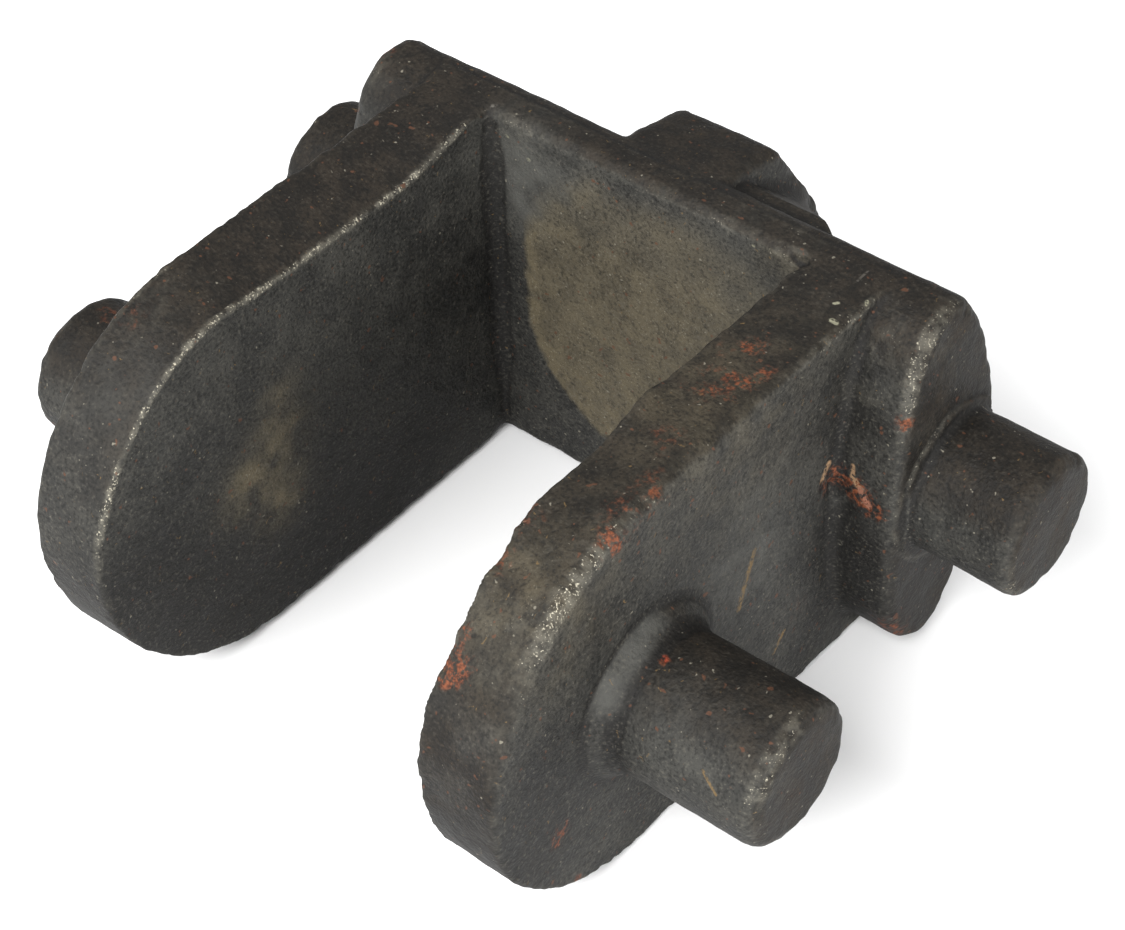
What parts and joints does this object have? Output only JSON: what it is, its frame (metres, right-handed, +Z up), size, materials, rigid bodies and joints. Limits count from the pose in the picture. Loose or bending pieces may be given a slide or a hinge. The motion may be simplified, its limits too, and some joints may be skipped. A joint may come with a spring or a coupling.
{
  "type": "conduit bender yoke casting",
  "caption": "Cast iron yoke for a conduit bender: round-nosed cheeks on an oval cross bar, with integral trunnion pins on both sides and a lug at the back.",
  "frame": {"origin": "under the middle of the bounding box, on the level that the casting stands on", "axes": "+X along the pins, to the right seen from the open front; +Y towards the lug at the back; +Z up"},
  "size_m": [0.1232, 0.1062, 0.0578],
  "materials": {
    "bar_iron": "rough as-cast, dark, dusty and lightly rusted",
    "lug_iron": "rough as-cast, dark brown-black",
    "cheek_iron": "rough as-cast, dark grey with worn bright edges and rust specks",
    "pin_iron": "as-cast, dark grey, end rims worn bright"
  },
  "bodies": {
    "root": {"cross_bar": "bar_iron", "rear_lug": "lug_iron", "left_cheek": "cheek_iron", "right_cheek": "cheek_iron", "front_pin_left": "pin_iron", "front_pin_right": "pin_iron", "rear_pin_left": "pin_iron", "rear_pin_right": "pin_iron"}
  },
  "joints": []
}
